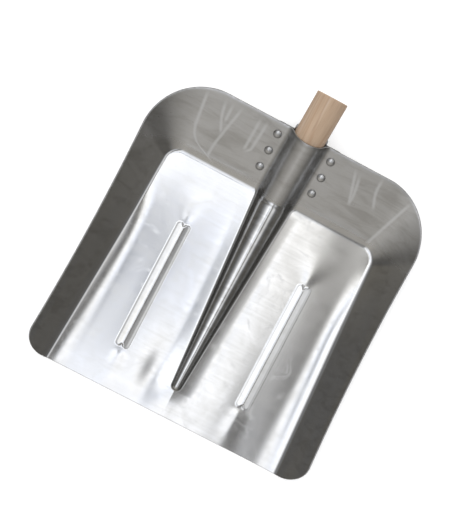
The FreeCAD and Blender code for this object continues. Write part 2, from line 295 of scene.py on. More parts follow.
# ---- shallow relief that the press leaves in the sheet ----
SKIRT_SLOPE = 0.055  # the sheet rises towards the hump's foot
SKIRT_FADE = 0.55  # how much weaker it is at the rear
SKIRT_WIDTH = 11.0  # its reach past the hump's foot on the rear half
SKIRT_BLEND = 8.0  # how gently its outline turns into the leaf's
SKIRT_VALLEY = 0.06  # depth of the hollow along the skirt's outer edge
VALLEY_AT = 0.95  # its place and spread, as shares of the skirt's width
VALLEY_SPREAD = 0.35
LEAF_TIP = 8.0  # round the hump's front half the skirt is a leaf with its point here
LEAF_FULL = 55.0
LEAF_HALF_WIDTH = 24.0
LEAF_POINT = 0.5  # half width of its point
DENT_AT = (-31.0, 44.0)
DENT_DEPTH = 1.1
DENT_SPREAD = (15.5, 38.0)
FOLD_HEIGHT = 0.38  # folds in line with the beads' ends
FOLD_X_LEFT = 80.0  # the left front fold lies a little further in
FRONT_FOLD_SPREAD = (6.5, 11.5)  # at the bead's end and at the front edge
FRONT_FOLD_START = 0.15  # share of the way over which it sets in
FRONT_FOLD_FADE = 0.45  # how much lower it is at the front edge
REAR_FOLD_SPREAD = (3.0, 25.0)  # the same behind the bead
REAR_FOLD_START = 0.1
REAR_FOLD_END = 0.3  # it fades from here
REAR_FOLD_SHARE = 0.7  # of the fold's height
CREASE_LIFT = 2.4  # the floor curls up by this much towards its side creases
CREASE_BAND = (36.0, 19.0)  # how far in the curl reaches, at the front and at the rear
CURL_POWER = (2.5, 2.7)  # how late the curl sets in, on the left and on the right
CURL_SETTLE = 28.0  # the walls are back in place this far out
CURL_END = (130.0, 10.0)  # it fades between these distances before the rear crease
BAND_ALONG = 9.0  # a low ridge runs along the foot of the rear wall
BAND_HEIGHT = 0.4
BAND_SPREAD = 3.5
BAND_FROM_HUMP = (8.0, 30.0)  # sets in between these distances from the tube
BAND_FROM_CORNER = (28.0, 8.0)  # and fades between these before the corner
WAVES = 9  # gentle unevenness of the floor and walls
WAVE_SEED = 11
WAVE_TURN = 0.45  # the waves run lengthways, give or take this angle in radians
WAVE_LENGTHS = (55.0, 120.0)
WAVE_HEIGHT = 0.03
WAVE_FROM_HUMP = 15.0  # they set in over this distance from the tube
PRESSED_SIDE = (-4.0, 2.0)  # the relief ends here past the side crease
PRESSED_REAR = (-14.0, -4.0)  # and past the rear crease


def bell(distance, spread):
    """1 in the middle, falling away on both sides."""
    return np.exp(-((distance / spread) ** 2))


def between(pair, share):
    """The value at a share of the way between the pair."""
    return pair[0] + (pair[1] - pair[0]) * share


def quarter_round(value, low, high):
    """0 to 1 along a quarter of an ellipse."""
    t = np.clip((value - low) / (high - low), 0, 1)
    return np.sqrt(t * (2 - t))


def smooth_maximum(first, second, ease):
    """The larger of two values, eased where they change places."""
    return (first + second + np.hypot(first - second, ease)) / 2


def skirt_height(x, y):
    """Gentle rise along both sides of the hump, and the fold that runs on ahead of its tip."""
    foot = arch_turns(*taper_section(y))[2]
    leaf = LEAF_HALF_WIDTH * quarter_round(y, LEAF_TIP, LEAF_FULL) + LEAF_POINT
    outer = smooth_maximum(leaf, foot + SKIRT_WIDTH, SKIRT_BLEND)
    outer = np.where(y < HUMP_TIP_Y, leaf, outer)
    inner = foot * quarter_round(y, HUMP_TIP_Y, TIP_CENTRE)
    apart = np.maximum(np.abs(x) - inner, 0) / (outer - inner)
    strength = smooth_step(y, LEAF_TIP, HUMP_TIP_Y)
    rise = SKIRT_SLOPE * (outer - inner) / 2 * np.maximum(1 - apart, 0) ** 2
    valley = SKIRT_VALLEY * bell(apart - VALLEY_AT, VALLEY_SPREAD)
    fade = 1 - SKIRT_FADE * smooth_step(y, FLOOR_LENGTH / 2, FLOOR_LENGTH)
    return strength * fade * (rise - valley)


def fold_height(x, y):
    """Folds that run on from the beads' ends, to the front edge and a little way back."""
    off_ridge = np.abs(x) - np.where((y < BEAD_FRONT) & (x < 0), FOLD_X_LEFT, BEAD_X)
    front = np.clip((BEAD_FRONT - y) / BEAD_FRONT, 0, 1)
    front_fold = bell(off_ridge, between(FRONT_FOLD_SPREAD, front))
    front_fold = front_fold * smooth_step(front, 0, FRONT_FOLD_START)
    rear = np.clip((y - BEAD_REAR) / BEAD_FRONT, 0, 1)
    rear_fold = bell(off_ridge, between(REAR_FOLD_SPREAD, rear))
    rear_fold = rear_fold * smooth_step(rear, 0, REAR_FOLD_START) * (1 - smooth_step(rear, REAR_FOLD_END, 1))
    return FOLD_HEIGHT * (front_fold * (1 - FRONT_FOLD_FADE * front) + REAR_FOLD_SHARE * rear_fold)


def curl_height(x, y):
    """The floor curls up to its side creases, and the walls ride up with it and settle again."""
    band = between(CREASE_BAND, np.clip(y / FLOOR_LENGTH, 0, 1))
    inward = np.clip((np.abs(x) - half_width(y)) / band + 1, 0, 1)
    settle = 1 - smooth_step(np.abs(x), half_width(y), half_width(y) + CURL_SETTLE)
    curl = inward ** np.where(x < 0, *CURL_POWER)
    fade = 1 - smooth_step(y, FLOOR_LENGTH - CURL_END[0], FLOOR_LENGTH - CURL_END[1])
    return CREASE_LIFT * curl * settle * fade


def wave_height(x, y):
    """A few long waves that run mostly lengthways, with seeded directions."""
    random = np.random.default_rng(WAVE_SEED)
    total = np.zeros_like(x)
    for _ in range(WAVES):
        heading = random.uniform(-WAVE_TURN, WAVE_TURN)
        phase = random.uniform(0, 2 * math.pi)
        length = random.uniform(*WAVE_LENGTHS)
        along = x * math.cos(heading) + y * math.sin(heading)
        total += np.sin(2 * math.pi * along / length + phase)
    return WAVE_HEIGHT * total


def band_height(x, y):
    """Low ridge along the foot of the rear wall, clear of the hump and the corners."""
    along = (y - FLOOR_LENGTH) / math.cos(REAR_SLOPE)
    from_hump = smooth_step(np.abs(x) - ARCH[0], *BAND_FROM_HUMP)
    from_corner = smooth_step(FLOOR_HALF_REAR - np.abs(x), *reversed(BAND_FROM_CORNER))
    return BAND_HEIGHT * bell(along - BAND_ALONG, BAND_SPREAD) * from_hump * from_corner


def press_relief(x, y):
    """All of the relief together."""
    inside = 1 - smooth_step(np.abs(x) - half_width(y), *PRESSED_SIDE)
    inside = inside * (1 - smooth_step(y - FLOOR_LENGTH, *PRESSED_REAR))
    dent = bell((x - DENT_AT[0]) / DENT_SPREAD[0], 1) * bell((y - DENT_AT[1]) / DENT_SPREAD[1], 1)
    from_hump = smooth_step(np.abs(x) - ARCH[0], 0, WAVE_FROM_HUMP)
    waves = wave_height(x, y) * np.where(y < FLOOR_LENGTH, 1, from_hump)
    shaped = skirt_height(x, y) + fold_height(x, y) - DENT_DEPTH * dent
    return shaped * inside + curl_height(x, y) + band_height(x, y) + waves


# ---- plan grid ----
def steps(start, end, cells):
    """Even steps after the start, up to the end."""
    return np.linspace(start, end, cells + 1)[1:]


def floor_rows():
    """Rows from the front edge to the rear crease, closer together where the sheet turns."""
    turn = np.linspace(0, math.pi / 2, FRONT_CORNER_CELLS + 1)
    corner = FRONT_CORNER_RADIUS - (FRONT_CORNER_RADIUS - RIM_ROUND) * np.cos(turn)
    tip = TIP_CENTRE - arch_stations(*TIP)[::-1]
    bead_end = BEAD_HALF_WIDTH / 2 + BEAD_END_MARGIN
    bead_low, bead_high = BEAD_FRONT - BEAD_MARGIN, BEAD_REAR + BEAD_MARGIN
    elbow = FLOOR_LENGTH - ARCH[0]
    rows = [
        corner,
        [(FRONT_CORNER_RADIUS + tip[0]) / 2],
        tip,
        steps(tip[-1], bead_low, AHEAD_CELLS),
        steps(bead_low, BEAD_FRONT + bead_end, BEAD_END_CELLS),
        steps(BEAD_FRONT + bead_end, BEAD_REAR - bead_end, BEAD_CELLS),
        steps(BEAD_REAR - bead_end, bead_high, BEAD_END_CELLS),
        steps(bead_high, elbow, BEHIND_CELLS),
        steps(elbow, FLOOR_LENGTH - FLOOR_CORNER_RADIUS, ELBOW_CELLS),
        steps(FLOOR_LENGTH - FLOOR_CORNER_RADIUS, FLOOR_LENGTH, CORNER_CELLS),
    ]
    return np.concatenate(rows)


def floor_columns(y):
    """Columns of one row from the centre line to the side crease."""
    turn = smooth_step(y, FLOOR_LENGTH - ARCH[0], FLOOR_LENGTH)
    hump = (1 - turn) * arch_stations(*taper_section(y)) + turn * arch_stations(*ARCH)
    bead_reach = BEAD_HALF_WIDTH + BEAD_MARGIN
    bead_start, bead_end = BEAD_X - bead_reach, BEAD_X + bead_reach
    corner_start = half_width(y) - FLOOR_CORNER_RADIUS
    columns = [
        hump,
        hump[-1] + (bead_start - hump[-1]) * steps(0, 1, INNER_COLUMNS) ** INNER_POWER,
        steps(bead_start, bead_end, BEAD_COLUMNS),
        steps(bead_end, corner_start, OUTER_COLUMNS),
        steps(corner_start, half_width(y), CORNER_CELLS),
    ]
    return np.concatenate(columns)


def floor_grid():
    """Plan positions of the floor's vertices, rows by columns, left to right."""
    rows = floor_rows()
    half = np.array([floor_columns(y) for y in rows])
    x = np.hstack([-half[:, :0:-1], half])
    y = np.repeat(rows[:, None], x.shape[1], axis=1)
    return round_corners(x, y)


def round_corners(x, y):
    """Draw the grid's two square rear corners in to the floor's round ones."""
    across = np.abs(x) - CORNER_START[0]
    along = y - CORNER_START[1]
    inside = (across > 0) & (along > 0)
    u = across / (half_width(y) - CORNER_START[0])
    v = along / FLOOR_CORNER_RADIUS
    pull = np.maximum(u, v) / np.maximum(np.hypot(u, v), 1e-9)
    new_x = np.sign(x) * (CORNER_START[0] + FLOOR_CORNER_RADIUS * u * pull)
    new_y = CORNER_START[1] + FLOOR_CORNER_RADIUS * v * pull
    return np.where(inside, new_x, x), np.where(inside, new_y, y)


def rim_targets(x, y):
    """Where the wall strip's lines end on the rim, for each vertex on the floor's edge."""
    rim = rim_polyline()
    across = np.abs(x)
    rear_y = rim[-1, 1]
    from_corner = rim - CORNER_START
    angles = np.arctan2(from_corner[:, 1], from_corner[:, 0])
    reach = np.hypot(from_corner[:, 0], from_corner[:, 1])
    angle = np.arctan2(y - CORNER_START[1], across - CORNER_START[0])
    fan = np.interp(angle, angles, reach)
    out_x = CORNER_START[0] + fan * np.cos(angle)
    out_y = CORNER_START[1] + fan * np.sin(angle)
    beside = (y <= CORNER_START[1]) & (across > CORNER_START[0])
    side = np.argmax(rim[:, 1] >= BLADE_DEPTH - REAR_CORNER_RADIUS)
    out_x = np.where(beside, np.interp(y, rim[:side, 1], rim[:side, 0]), out_x)
    out_y = np.where(beside, y, out_y)
    behind = across <= CORNER_START[0]
    by_x = rim[side:][::-1]
    rear = np.interp(across, by_x[:, 0], by_x[:, 1], left=rear_y)
    mouth = arch_height(across, *ARCH) * math.sin(REAR_SLOPE)
    out_x = np.where(behind, across, out_x)
    out_y = np.where(behind, np.minimum(rear, rear_y) - mouth, out_y)
    return np.copysign(out_x, x), out_y


def wall_strip(edge_x, edge_y):
    """Plan positions of the wall's vertices: a row for each step from the crease to the rim."""
    out_x, out_y = rim_targets(edge_x, edge_y)
    length = np.hypot(out_x - edge_x, out_y - edge_y)
    share = BORDER_ROW / WALL_ROWS
    power = np.log(BORDER_REACH / length) / math.log(share)
    power = np.clip(power, 1, None)
    steps = np.arange(1, WALL_ROWS + 1)[:, None] / WALL_ROWS
    share = steps**power
    return edge_x + (out_x - edge_x) * share, edge_y + (out_y - edge_y) * share


def grid_quads(index):
    """Corner indices of every cell of a grid of vertex numbers."""
    corners = [index[:-1, :-1], index[:-1, 1:], index[1:, 1:], index[1:, :-1]]
    return np.stack([c.ravel() for c in corners], axis=1)


def sheet_surface():
    """Upper side: vertices, quads that face up, and the loop of vertices round its rim."""
    x, y = floor_grid()
    floor_index = np.arange(x.size).reshape(x.shape)
    right, rear, left = floor_index[:, -1], floor_index[-1, ::-1], floor_index[::-1, 0]
    edge = np.concatenate([right, rear[1:], left[1:]])
    wall_x, wall_y = wall_strip(x.ravel()[edge], y.ravel()[edge])
    wall_index = x.size + np.arange(wall_x.size).reshape(wall_x.shape)
    strip = np.vstack([edge, wall_index])
    plan_x = np.concatenate([x.ravel(), wall_x.ravel()])
    plan_y = np.concatenate([y.ravel(), wall_y.ravel()])
    points = np.column_stack([plan_x, plan_y, sheet_height(plan_x, plan_y)])
    quads = np.vstack([grid_quads(floor_index), grid_quads(strip)[:, ::-1]])
    loop = np.concatenate([floor_index[0], strip[1:, 0], strip[-1, 1:], strip[-2:0:-1, -1]])
    return points, quads, loop


def vertex_normals(points, quads):
    """Unit normals, weighted by the size of the quads."""
    first = points[quads[:, 2]] - points[quads[:, 0]]
    second = points[quads[:, 3]] - points[quads[:, 1]]
    facing = np.cross(first, second)
    normals = np.zeros_like(points)
    for corner in range(4):
        np.add.at(normals, quads[:, corner], facing)
    return normals / np.maximum(np.linalg.norm(normals, axis=1, keepdims=True), 1e-12)


def rim_loops(points, normals, loop):
    """Rounded edge of the sheet: rings of vertices from the upper side to the lower one."""
    edge, up = points[loop], normals[loop]
    ahead = np.roll(edge, -1, axis=0) - np.roll(edge, 1, axis=0)
    out = np.cross(ahead, up)
    out /= np.maximum(np.linalg.norm(out, axis=1, keepdims=True), 1e-12)
    rings = []
    lower = SHEET - RIM_ROUND
    for depth, turn in ((RIM_ROUND, 45), (RIM_ROUND, 90), (lower, 90), (lower, 135)):
        lift = math.cos(math.radians(turn)) * RIM_ROUND - depth
        reach = math.sin(math.radians(turn)) * RIM_ROUND
        rings.append(edge + up * lift + out * reach)
    return rings


def closed_sheet():
    """The whole sheet: upper side, lower side and the rounded rim between them."""
    upper, quads, loop = sheet_surface()
    normals = vertex_normals(upper, quads)
    lower = upper - SHEET * normals
    rings = rim_loops(upper, normals, loop)
    points = np.vstack([upper, lower] + rings)
    count, size = len(upper), len(loop)
    ring_index = [2 * count + k * size + np.arange(size) for k in range(len(rings))]
    bands = [loop] + ring_index + [loop + count]
    faces = [quads, quads[:, ::-1] + count]
    for near, far in zip(bands[:-1], bands[1:]):
        index = np.vstack([near, far])
        index = np.hstack([index, index[:, :1]])
        faces.append(grid_quads(index)[:, ::-1])
    return points, np.vstack(faces)


# ---- making objects ----
def to_row_frame(points):
    """Millimetres from the front edge to metres in the row frame."""
    return np.asarray(points) * MM + np.array([0.0, FRONT, 0.0])


def add_mesh(name, points, faces, material):
    mesh = bpy.data.meshes.new(name)
    mesh.from_pydata(np.asarray(points).tolist(), [], [list(face) for face in faces])
    mesh.validate()
    mesh.shade_smooth()
    mesh.materials.append(material)
    obj = bpy.data.objects.new(name, mesh)
    bpy.context.scene.collection.objects.link(obj)
    return obj


def on_wall(points):
    """From the flat wall frame (across, up the slope, out of the wall) to the working frame."""
    across, along, out = np.asarray(points, float).T
    cos, sin = math.cos(REAR_SLOPE), math.sin(REAR_SLOPE)
    y = FLOOR_LENGTH + along * cos - out * sin
    return np.column_stack([across, y, SHEET + along * sin + out * cos])


def lathe(profile, turns):
    """Closed body of revolution about z from (radius, height) pairs, first and last on the axis."""
    around = np.linspace(0, 2 * math.pi, turns, endpoint=False)
    rings = [np.column_stack([arc_points(r, around), np.full(turns, h)]) for r, h in profile[1:-1]]
    points = np.vstack(rings + [[[0, 0, profile[0][1]], [0, 0, profile[-1][1]]]])
    index = np.arange(len(rings) * turns).reshape(len(rings), turns)
    index = np.hstack([index, index[:, :1]])
    faces = grid_quads(index).tolist()
    low, high = len(points) - 2, len(points) - 1
    faces += [[low, int(b), int(a)] for a, b in zip(index[0, :-1], index[0, 1:])]
    faces += [[high, int(a), int(b)] for a, b in zip(index[-1, :-1], index[-1, 1:])]
    return points, faces


def arc_profile(centre, radii, start, end, count):
    """(radius, height) pairs along an elliptical arc; angles in degrees from the outward side."""
    turn = np.radians(np.linspace(start, end, count))
    return list(zip(centre[0] + radii[0] * np.cos(turn), centre[1] + radii[1] * np.sin(turn)))


def build_blade(material):
    points, faces = closed_sheet()
    blade = add_mesh("blade_sheet", to_row_frame(points), faces, material)
    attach(blade, "root")
    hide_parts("blade")


# ---- rivets ----
RIVET_X = 35.0
RIVET_ALONG = {"lower": 31.0, "middle": 55.0, "upper": 79.0}  # up the slope from the crease
RIVET_HEAD = (5.2, 3.2)  # radius and height
RIVET_TAIL = (4.2, 2.0)
RIVET_SHANK_RADIUS = 2.5
RIVET_TURNS = 40
RIVET_TAIL_TURN = -6  # degrees, where the tail's round side stops
RIVET_UNDERCUT = 0.3  # how much narrower the head is where it meets the sheet
RIVET_RIM = (0.35, 0.5)  # the head is at its widest between these heights


def rivet_profile():
    """Dome head with a steep edge, shank through both sheets and an upset tail."""
    grip = 2 * SHEET
    tail = arc_profile((0, -grip), RIVET_TAIL, -90, RIVET_TAIL_TURN, 9)
    shank = [(RIVET_TAIL[0], -grip), (RIVET_SHANK_RADIUS, -grip), (RIVET_SHANK_RADIUS, 0)]
    rim = [(RIVET_HEAD[0] - RIVET_UNDERCUT, 0), (RIVET_HEAD[0], RIVET_RIM[0])]
    head = arc_profile((0, RIVET_RIM[1]), (RIVET_HEAD[0], RIVET_HEAD[1] - RIVET_RIM[1]), 0, 90, 14)
    return [(0, -grip - RIVET_TAIL[1])] + tail[1:] + shank + rim + head[:-1] + [(0, RIVET_HEAD[1])]


def build_rivets(material):
    """Three rivets on each side of the socket, square to the rear wall."""
    points, faces = lathe(rivet_profile(), RIVET_TURNS)
    for side_name, side in (("left", -1), ("right", 1)):
        for place, along in RIVET_ALONG.items():
            name = f"rivet_{side_name}_{place}"
            moved = on_wall(points + [side * RIVET_X, along, 0])
            rivet = add_mesh(name + "_formed", to_row_frame(moved), faces, material)
            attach(rivet, "root")
            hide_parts(name)


# ---- handle ----
HANDLE_RADIUS = 19.0
HANDLE_LIFT = -1.0  # the handle's axis below the wall's upper surface
HANDLE_END = 150.0
HANDLE_CUT_LEAN = REAR_SLOPE - math.radians(10.0)  # the saw cut against square to the axis
HANDLE_EDGE = 1.2  # the saw cut's edge is sanded by this much
HANDLE_TURNS = 96
HANDLE_POINT = 34.0  # the point starts here, up the slope from the crease
HANDLE_POINT_RADIUS = 6.5
HANDLE_CONE_END = 66.0
HANDLE_FULL = 100.0  # from here on the handle has its full radius
HANDLE_PLAY = 0.2  # how much slimmer it is inside the socket
HANDLE_SHEAR_START = 105.0  # the lean of the saw cut sets in from here


def handle_profile():
    """(radius, distance up the axis): pointed inside the hump, slimmer inside the socket."""
    seat = HANDLE_RADIUS - HANDLE_PLAY
    inner_radius, inner_end = HANDLE_RADIUS - HANDLE_EDGE, HANDLE_END - HANDLE_EDGE
    point = (HANDLE_POINT_RADIUS - 0.5, HANDLE_POINT + 0.2), (HANDLE_POINT_RADIUS, HANDLE_POINT + 0.8)
    sides = [(0, HANDLE_POINT), *point, (seat, HANDLE_CONE_END)]
    for share in steps(0, 1, 5):
        sides.append((seat + HANDLE_PLAY * share, between((HANDLE_CONE_END, HANDLE_FULL), share)))
    sides += [(HANDLE_RADIUS, v) for v in np.linspace(HANDLE_SHEAR_START, inner_end, 10)]
    edge = arc_profile((inner_radius, inner_end), (HANDLE_EDGE, HANDLE_EDGE), 15, 90, 6)
    face = [(r, HANDLE_END) for r in steps(inner_radius, 0, 8)]
    return sides + edge + face


def build_handle(material):
    """The lathe's z becomes the wall's up-slope direction, sheared near the end to the saw cut."""
    points, faces = lathe(handle_profile(), HANDLE_TURNS)
    across, out, along = points[:, 0], -points[:, 1], points[:, 2]
    share = smooth_step(along, HANDLE_SHEAR_START, HANDLE_END - HANDLE_EDGE)
    along = along + share * out * math.tan(HANDLE_CUT_LEAN)
    moved = on_wall(np.column_stack([across, along, out + HANDLE_LIFT]))
    handle = add_mesh("handle_turned", to_row_frame(moved), faces, material)
    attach(handle, "root")
    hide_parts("handle")


# ---- camera ----
CAMERA_AT = Vector((-0.0851, FRONT + 0.2251, 1.2507))
CAMERA_FIELD = math.radians(28.67)  # vertical field of view
CAMERA_ROLL = math.radians(27.68)
CAMERA_PITCH = math.radians(1.15)
CAMERA_YAW = math.radians(3.36)


def add_camera():
    """Almost straight above the pan, turned so that the handle points to the upper right."""
    data = bpy.data.cameras.new("camera")
    data.sensor_fit = "VERTICAL"
    data.lens = data.sensor_height / 2 / math.tan(CAMERA_FIELD / 2)
    camera = bpy.data.objects.new("camera", data)
    lean = Matrix.Rotation(-CAMERA_YAW, 3, "Y") @ Matrix.Rotation(-CAMERA_PITCH, 3, "X")
    turn = lean @ Matrix.Rotation(CAMERA_ROLL, 3, "Z")
    camera.matrix_world = Matrix.Translation(CAMERA_AT) @ turn.to_4x4()
    bpy.context.scene.collection.objects.link(camera)
    bpy.context.scene.camera = camera


# ---- node helpers ----
def new_node(tree, kind, **values):
    """A node with its inputs set: a value, or a socket to link from. Names use _ for a space."""
    node = tree.nodes.new(kind)
    for name, value in values.items():
        if hasattr(node, name):
            setattr(node, name, value)
            continue
        key = int(name[1:]) if name[0] == "i" and name[1:].isdigit() else name.replace("_", " ")
        if isinstance(value, bpy.types.NodeSocket):
            tree.links.new(value, node.inputs[key])
        else:
            node.inputs[key].default_value = value
    return node


def maths(tree, operation, first, second=0.0):
    return new_node(tree, "ShaderNodeMath", operation=operation, i0=first, i1=second).outputs[0]


def times(tree, first, second):
    return maths(tree, "MULTIPLY", first, second)


def parts_of(tree, place):
    """The x, y and z of a place or a direction."""
    return new_node(tree, "ShaderNodeSeparateXYZ", Vector=place).outputs


def plus_share(tree, base, part, share):
    """The base with that share of the part added to it."""
    return maths(tree, "ADD", base, times(tree, part, share))


def weigh(tree, first, second, share):
    """That share of the first with the rest of the second."""
    return plus_share(tree, times(tree, first, share), second, 1 - share)


def ramp(tree, value, stops):
    """A smooth colour ramp. Each stop is a position from 0 to 1 and a grey level or a colour."""
    node = new_node(tree, "ShaderNodeValToRGB", Fac=value)
    elements = node.color_ramp.elements
    while len(elements) < len(stops):
        elements.new(0.5)
    for element, (place, colour) in zip(elements, stops):
        element.position = place
        colour = (colour,) * 3 if isinstance(colour, float) else colour
        element.color = (*colour, 1)
    return node.outputs["Color"]


def object_place(tree):
    return new_node(tree, "ShaderNodeTexCoord").outputs["Object"]


def wall_place(tree):
    """Object coordinates turned into the wall frame, in metres."""
    start = (0, FRONT + FLOOR_LENGTH * MM, SHEET * MM)
    node = new_node(tree, "ShaderNodeMapping", vector_type="TEXTURE", Vector=object_place(tree))
    node.inputs["Location"].default_value = start
    node.inputs["Rotation"].default_value = (REAR_SLOPE, 0, 0)
    return node.outputs[0]


def scaled(tree, place, scale):
    return new_node(tree, "ShaderNodeMapping", Vector=place, Scale=scale).outputs[0]


def noise(tree, place, scale, detail=3.0, roughness=0.5, distortion=0.0):
    """Cloudy grey pattern; scale is the features in a metre, or those along x, y and z."""
    if isinstance(scale, tuple):
        place, scale = scaled(tree, place, scale), 1
    node = new_node(tree, "ShaderNodeTexNoise", Vector=place, Scale=float(scale), Detail=float(detail))
    node.inputs["Roughness"].default_value = roughness
    node.inputs["Distortion"].default_value = distortion
    return node.outputs[0]


def remap(tree, value, low, high, out_low=0.0, out_high=1.0, smooth=False):
    node = new_node(tree, "ShaderNodeMapRange", Value=value, From_Min=low, From_Max=high)
    node.inputs["To Min"].default_value = out_low
    node.inputs["To Max"].default_value = out_high
    node.interpolation_type = "SMOOTHSTEP" if smooth else "LINEAR"
    return node.outputs[0]


def bump(tree, height, strength, distance):
    node = new_node(tree, "ShaderNodeBump", Height=height, Strength=strength, Distance=distance)
    return node.outputs[0]


def mix_colour(tree, share, first, second, blend="MIX"):
    """Two colours mixed; each input may be a value or a socket."""
    node = new_node(tree, "ShaderNodeMix", data_type="RGBA", blend_type=blend)
    for key, value in ((0, share), (6, first), (7, second)):
        if isinstance(value, bpy.types.NodeSocket):
            tree.links.new(value, node.inputs[key])
        else:
            node.inputs[key].default_value = (*value, 1) if isinstance(value, tuple) else value
    return node.outputs[2]


def multiply_colours(tree, first, second):
    return mix_colour(tree, 1.0, first, second, "MULTIPLY")


def finish_shader(tree, colour, roughness, normal):
    shader = tree.nodes["Principled BSDF"]
    tree.links.new(colour, shader.inputs["Base Color"])
    tree.links.new(roughness, shader.inputs["Roughness"])
    tree.links.new(normal, shader.inputs["Normal"])


def angle_ramp(tree, value, reach, stops):
    """A ramp over an angle in radians, from -reach to reach degrees."""
    share = maths(tree, "MULTIPLY_ADD", value, 90 / math.pi / reach)
    share.node.inputs[2].default_value = 0.5
    places = [((angle + reach) / (2 * reach), colour) for angle, colour in stops]
    return ramp(tree, share, places)


# ---- materials ----
def plain_material(name, colour, metallic, roughness):
    material = bpy.data.materials.new(name)
    material.use_nodes = True
    shader = material.node_tree.nodes["Principled BSDF"]
    shader.inputs["Base Color"].default_value = (*colour, 1)
    shader.inputs["Metallic"].default_value = metallic
    shader.inputs["Roughness"].default_value = roughness
    return material


# Streaks of painted highlight on the rear wall, along its press wrinkles: the bends of each as (up the
# slope, across) in mm.
HIGHLIGHT_STREAKS = (
    ((5, -80), (20, -120), (40, -125), (90, -130)),
    ((45, -93), (65, -103), (90, -106)),
    ((10, -96), (40, -95), (90, -82)),
    ((60, -96), (90, -96)),
    ((40, -61), (90, -60)),
    ((38, -60), (45, -53), (90, -51)),
    ((40, 80), (90, 64)),
    ((40, 79), (60, 79), (85, 71)),
    ((5, 123), (85, 142)),
    ((50, 109), (70, 98), (95, 98)),
)
STREAK_WIDTH = 3.4
STREAK_START = (-2.0, 5.0)  # each sets in between these distances past its first bend
STREAK_END = 15.0  # and fades over this distance before its last
STREAK_ABOVE = (2.0, 5.0)  # they fade between these heights, so the hump has none
STREAK_BELOW = (-1.5, -0.5)  # nor does the underside


def highlight_streak_mask(tree, across, along, course):
    """White along one streak of painted highlight, fading at its ends."""
    low, high = course[0][0], course[-1][0]
    sides = [side for _, side in course]
    left, right = min(sides) - 1, max(sides) + 1
    stops = [((up - low) / (high - low), (side - left) / (right - left)) for up, side in course]
    line = ramp(tree, remap(tree, along, low * MM, high * MM), stops)
    line.node.color_ramp.interpolation = "LINEAR" if len(course) < 3 else "B_SPLINE"
    centre = remap(tree, line, 0, 1, left * MM, right * MM)
    offset = maths(tree, "ABSOLUTE", maths(tree, "SUBTRACT", across, centre))
    body = remap(tree, offset, 0, STREAK_WIDTH * MM, 1, 0, smooth=True)
    start = remap(tree, along, (low + STREAK_START[0]) * MM, (low + STREAK_START[1]) * MM, smooth=True)
    end = remap(tree, along, high * MM, (high - STREAK_END) * MM, smooth=True)
    return times(tree, body, times(tree, start, end))


def wall_highlight_streaks(tree):
    """All the streaks of painted highlight on the rear wall in one mask."""
    across, along, out = parts_of(tree, wall_place(tree))
    total = None
    for course in HIGHLIGHT_STREAKS:
        mask = highlight_streak_mask(tree, across, along, course)
        total = mask if total is None else maths(tree, "MAXIMUM", total, mask)
    near = remap(tree, out, STREAK_ABOVE[0] * MM, STREAK_ABOVE[1] * MM, 1, 0)
    upper = remap(tree, out, STREAK_BELOW[0] * MM, STREAK_BELOW[1] * MM)
    return times(tree, total, times(tree, near, upper))


# Patterns in the metal.
CLOUDS = {"scale": 34, "detail": 6, "roughness": 0.6, "distortion": 0.8}
SMUDGES = {"scale": 38, "detail": 6, "roughness": 0.65, "distortion": 1.2}
ROLLING_LINES = (7, 260, 260)
FINE_SCRATCHES = (30, 1500, 1500)
STAINS = (16, 70, 70)
STAIN_RISE = (4.0, 12.0)  # they set in between these heights
STAINED = (0.52, 0.51, 0.49)
CLOUD_SHARE = 0.62  # of the metal's tone; the rest is rolling lines
SMUDGE_SHARE = 0.4
ROLLING_SHARE = 0.7  # of the metal's fine relief; the rest is scratches
RELIEF_DEPTH = 0.00002  # metres
WORN = (0.46, 0.455, 0.44)
WEAR_SCALE = 240
WEAR_POINTED = (0.505, 0.56)  # 0.5 is flat, more sticks out
# How much rougher the metal is there.
SMUDGE_DULLER = 0.07
WEAR_DULLER = 0.35
STREAK_DULLER = 0.18
WALL_DULLER = 0.16  # on the rear wall
WALL_ONSET = 14.0  # over this distance up the slope
# Share of white painted highlight along the streaks.
STREAK_HIGHLIGHT_SHARE = 0.8


def wall_stains(tree):
    """Dull patches drawn out along the rolling direction, on everything above the pan's floor."""
    place = object_place(tree)
    height = parts_of(tree, place)[2]
    raised = remap(tree, height, STAIN_RISE[0] * MM, STAIN_RISE[1] * MM, smooth=True)
    patches = noise(tree, place, STAINS, 6, 0.62, 0.6)
    return times(tree, raised, remap(tree, patches, 0.42, 0.72, 0, 0.6, smooth=True))


def edge_wear(tree):
    """White on edges and ridges that stick out, broken up by noise."""
    pointed = new_node(tree, "ShaderNodeNewGeometry").outputs["Pointiness"]
    worn = remap(tree, pointed, *WEAR_POINTED, smooth=True)
    broken = remap(tree, noise(tree, object_place(tree), WEAR_SCALE, 4, 0.65), 0.35, 0.6)
    return times(tree, worn, broken)


def metal_parts(tree, place):
    """What every metal here shares: clouds, rolling lines, scratches and smudges."""
    clouds = noise(tree, place, **CLOUDS)
    rolling = noise(tree, place, ROLLING_LINES, 4, 0.6)
    fine = noise(tree, place, FINE_SCRATCHES, 2, 0.5)
    smudges = remap(tree, noise(tree, place, **SMUDGES), 0.55, 0.75, smooth=True)
    return clouds, rolling, fine, smudges


